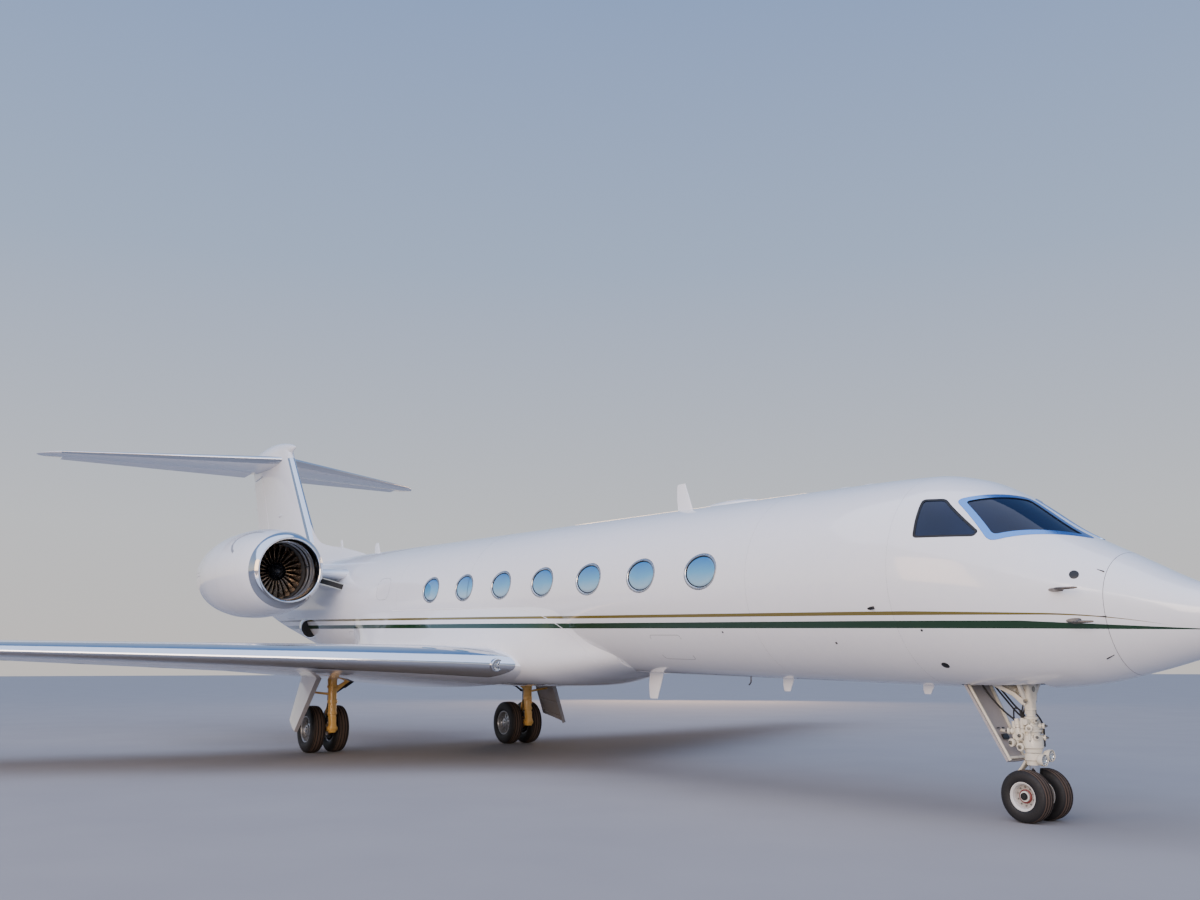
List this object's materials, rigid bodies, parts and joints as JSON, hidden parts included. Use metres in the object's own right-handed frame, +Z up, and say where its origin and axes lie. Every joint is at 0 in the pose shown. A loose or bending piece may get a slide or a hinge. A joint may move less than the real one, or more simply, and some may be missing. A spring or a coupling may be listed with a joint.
{
  "type": "business jet",
  "caption": "Long-range twin-engined business jet with a T-tail, winglets and oval cabin windows, parked on its wheels.",
  "frame": {"origin": "on the ground, under the middle of the overall length, on the plane of symmetry", "axes": "+X forward to the nose, +Y to port, +Z up"},
  "size_m": [29.39, 28.4998, 7.87],
  "materials": {
    "white_metal": "gloss white paint over aluminium skin",
    "white_composite": "gloss white paint over composite skin",
    "polished_metal": "polished bare metal",
    "cockpit_glass": "clear laminated glass",
    "interior": "matt dark lining",
    "fan_metal": "satin titanium",
    "engine_metal": "heat-stained metal",
    "gear_paint": "gloss enamel",
    "gear_door": "gloss enamel",
    "wheel_metal": "satin paint over forged alloy",
    "tyre_rubber": "matt black rubber"
  },
  "bodies": {
    "airframe": {"radome": "white_composite", "nose_fuselage": "white_metal", "entry_fuselage": "white_metal", "cabin_fuselage": "white_metal", "aft_fuselage": "white_metal", "baggage_door": "white_metal", "tail_cone": "white_metal", "windscreen_left": "cockpit_glass", "windscreen_right": "cockpit_glass", "side_window_left": "cockpit_glass", "side_window_right": "cockpit_glass", "cabin_floor": "interior", "instrument_panel": "interior", "pilot_seats": "interior", "wing_body_fairing": "white_composite", "wing_left": "white_metal", "wing_right": "white_metal", "fin": "white_composite", "tailplane": "white_composite", "inlet_lip_left": "polished_metal", "inlet_lip_right": "polished_metal", "nacelle_left": "white_composite", "nacelle_right": "white_composite", "engine_core_left": "engine_metal", "engine_core_right": "engine_metal", "pylon_left": "white_metal", "pylon_right": "white_metal", "nose_leg": "gear_paint", "nose_gear_door": "gear_door", "main_leg_left": "gear_paint", "main_leg_right": "gear_paint"},
    "airstair": {"airstair_door": "white_metal"},
    "fan_left": {"fan_left": "fan_metal"},
    "fan_right": {"fan_right": "fan_metal"},
    "reverser_upper_left": {"reverser_upper_left": "white_composite"},
    "reverser_lower_left": {"reverser_lower_left": "white_composite"},
    "reverser_upper_right": {"reverser_upper_right": "white_composite"},
    "reverser_lower_right": {"reverser_lower_right": "white_composite"},
    "aileron_left": {"aileron_left": "white_composite"},
    "aileron_right": {"aileron_right": "white_composite"},
    "flap_left": {"flap_left": "white_composite"},
    "flap_right": {"flap_right": "white_composite"},
    "spoiler_left": {"spoiler_left": "white_composite"},
    "spoiler_right": {"spoiler_right": "white_composite"},
    "elevator_left": {"elevator_left": "white_composite"},
    "elevator_right": {"elevator_right": "white_composite"},
    "rudder": {"rudder": "white_composite"},
    "nose_fork": {"nose_fork": "gear_paint"},
    "nose_wheels": {"nose_wheels": "wheel_metal", "nose_tyre_left": "tyre_rubber", "nose_tyre_right": "tyre_rubber"},
    "main_wheels_left": {"main_wheels_left": "wheel_metal", "main_tyre_left_outer": "tyre_rubber", "main_tyre_left_inner": "tyre_rubber"},
    "main_wheels_right": {"main_wheels_right": "wheel_metal", "main_tyre_right_inner": "tyre_rubber", "main_tyre_right_outer": "tyre_rubber"}
  },
  "joints": [
    {"name": "airstair_hinge", "type": "hinge", "parent": "airframe", "child": "airstair", "pos_m": [9.89, 1.01958, 1.96213], "axis": [-0.9997, 0, 0.0262], "range_deg": [0, 145]},
    {"name": "fan_spin_left", "type": "hinge", "parent": "airframe", "child": "fan_left", "pos_m": [-4.11541, 2.43, 3.59977], "axis": [-0.9997, 0, 0.0262], "continuous": true},
    {"name": "fan_spin_right", "type": "hinge", "parent": "airframe", "child": "fan_right", "pos_m": [-4.11541, -2.43, 3.59977], "axis": [-0.9997, 0, 0.0262], "continuous": true},
    {"name": "reverser_upper_hinge_left", "type": "hinge", "parent": "airframe", "child": "reverser_upper_left", "pos_m": [-7.75416, 2.43, 3.69529], "axis": [0, -1, 0], "range_deg": [0, 80]},
    {"name": "reverser_lower_hinge_left", "type": "hinge", "parent": "airframe", "child": "reverser_lower_left", "pos_m": [-7.75416, 2.43, 3.69529], "axis": [0, -1, 0], "range_deg": [-80, 0]},
    {"name": "reverser_upper_hinge_right", "type": "hinge", "parent": "airframe", "child": "reverser_upper_right", "pos_m": [-7.75416, -2.43, 3.69529], "axis": [0, -1, 0], "range_deg": [0, 80]},
    {"name": "reverser_lower_hinge_right", "type": "hinge", "parent": "airframe", "child": "reverser_lower_right", "pos_m": [-7.75416, -2.43, 3.69529], "axis": [0, -1, 0], "range_deg": [-80, 0]},
    {"name": "aileron_hinge_left", "type": "hinge", "parent": "airframe", "child": "aileron_left", "pos_m": [-2.945, 8.65, 1.85099], "axis": [-0.2396, 0.9702, 0.0356], "range_deg": [-20, 20]},
    {"name": "aileron_hinge_right", "type": "hinge", "parent": "airframe", "child": "aileron_right", "pos_m": [-2.945, -8.65, 1.85099], "axis": [-0.2396, -0.9702, 0.0356], "range_deg": [-20, 20]},
    {"name": "flap_hinge_left", "type": "hinge", "parent": "airframe", "child": "flap_left", "pos_m": [-1.705, 1.8, 1.33082], "axis": [0.1623, -0.9845, -0.0659], "range_deg": [0, 39]},
    {"name": "flap_hinge_right", "type": "hinge", "parent": "airframe", "child": "flap_right", "pos_m": [-1.705, -1.8, 1.33082], "axis": [-0.1623, -0.9845, 0.0659], "range_deg": [0, 39]},
    {"name": "spoiler_hinge_left", "type": "hinge", "parent": "airframe", "child": "spoiler_left", "pos_m": [-1.325, 3.3, 1.71426], "axis": [-0.1629, 0.9854, 0.0504], "range_deg": [0, 50]},
    {"name": "spoiler_hinge_right", "type": "hinge", "parent": "airframe", "child": "spoiler_right", "pos_m": [-1.325, -3.3, 1.71426], "axis": [0.1629, 0.9854, -0.0504], "range_deg": [0, 50]},
    {"name": "elevator_hinge_left", "type": "hinge", "parent": "airframe", "child": "elevator_left", "pos_m": [-12.64, 0.225, 7.29649], "axis": [-0.3208, 0.9468, 0.0273], "range_deg": [-5, 33]},
    {"name": "elevator_hinge_right", "type": "hinge", "parent": "airframe", "child": "elevator_right", "pos_m": [-12.64, -0.225, 7.29649], "axis": [0.3208, 0.9468, -0.0273], "range_deg": [-5, 33]},
    {"name": "rudder_hinge", "type": "hinge", "parent": "airframe", "child": "rudder", "pos_m": [-10.805, 0, 4.43], "axis": [-0.4769, 0, 0.8789], "range_deg": [-22, 22]},
    {"name": "nose_steering", "type": "hinge", "parent": "airframe", "child": "nose_fork", "pos_m": [12.11, 0, 0.69], "axis": [0, 0, 1], "range_deg": [-80, 80]},
    {"name": "nose_wheel_spin", "type": "hinge", "parent": "nose_fork", "child": "nose_wheels", "pos_m": [12.11, 0, 0.263], "axis": [0, 1, 0], "continuous": true},
    {"name": "main_wheel_spin_left", "type": "hinge", "parent": "airframe", "child": "main_wheels_left", "pos_m": [-1.645, 2.185, 0.436], "axis": [0, 1, 0], "continuous": true},
    {"name": "main_wheel_spin_right", "type": "hinge", "parent": "airframe", "child": "main_wheels_right", "pos_m": [-1.645, -2.185, 0.436], "axis": [0, 1, 0], "continuous": true}
  ],
  "couplings": [
    {"joint": "reverser_lower_hinge_left", "follows": "reverser_upper_hinge_left", "ratio": -1},
    {"joint": "reverser_lower_hinge_right", "follows": "reverser_upper_hinge_right", "ratio": -1},
    {"joint": "aileron_hinge_right", "follows": "aileron_hinge_left", "ratio": 1},
    {"joint": "flap_hinge_right", "follows": "flap_hinge_left", "ratio": 1},
    {"joint": "elevator_hinge_right", "follows": "elevator_hinge_left", "ratio": 1}
  ]
}
